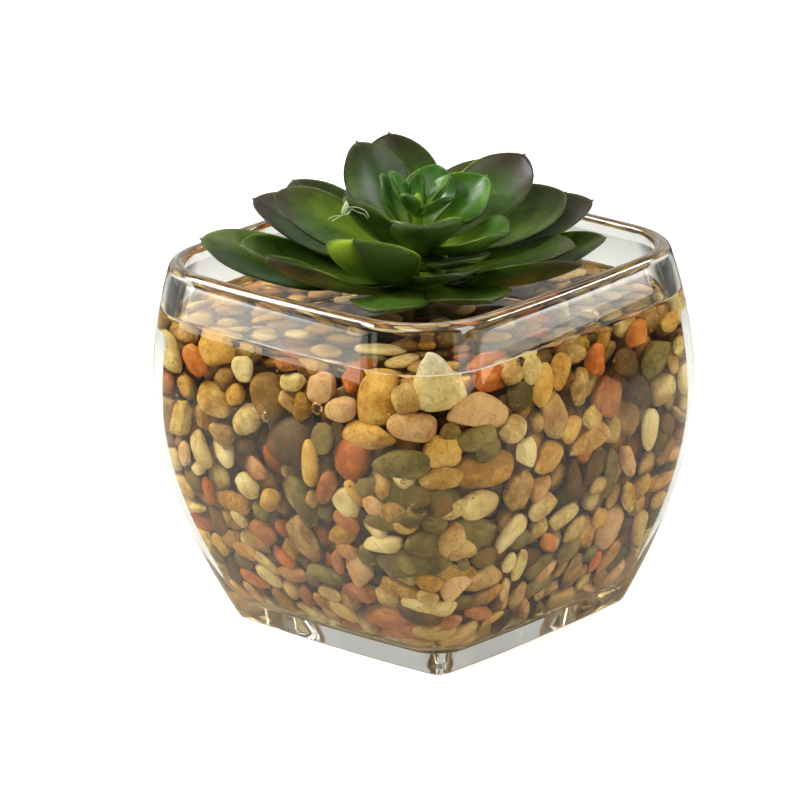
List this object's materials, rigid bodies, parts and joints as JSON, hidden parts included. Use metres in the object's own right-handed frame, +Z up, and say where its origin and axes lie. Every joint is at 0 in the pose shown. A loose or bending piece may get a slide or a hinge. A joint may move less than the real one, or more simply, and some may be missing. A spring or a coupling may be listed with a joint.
{
  "type": "artificial echeveria in a square glass vase",
  "caption": "Artificial echeveria rosette standing in a square clear glass vase of river pebbles set in clear resin. A table ornament that rests on its flat base.",
  "frame": {"origin": "middle of the vase's underside, on the surface that it stands on", "axes": "+Z up the stem, +X and +Y square to the vase's flat sides; the picture looks at the corner at -X -Y"},
  "size_m": [0.1118, 0.1118, 0.1182],
  "materials": {
    "vase_glass": "clear pressed glass, fire-polished rim",
    "clear_resin": "clear cast resin with a glossy level top",
    "pebble_stone": "tumbled river pebbles in tan, ochre, cream, brick red and olive",
    "stem_plastic": "moulded plastic",
    "leaf_plastic_dark": "soft satin plastic, deep green with purple-brown tips",
    "leaf_plastic_fresh": "soft satin plastic, mid green"
  },
  "bodies": {
    "root": {"glass_vase": "vase_glass", "resin_water": "clear_resin", "river_pebbles": "pebble_stone", "plant_stem": "stem_plastic", "leaves_outer": "leaf_plastic_dark", "leaves_lower": "leaf_plastic_dark", "leaves_middle": "leaf_plastic_dark", "leaves_upper": "leaf_plastic_dark", "leaves_inner": "leaf_plastic_fresh", "leaf_heart": "leaf_plastic_fresh"}
  },
  "joints": []
}
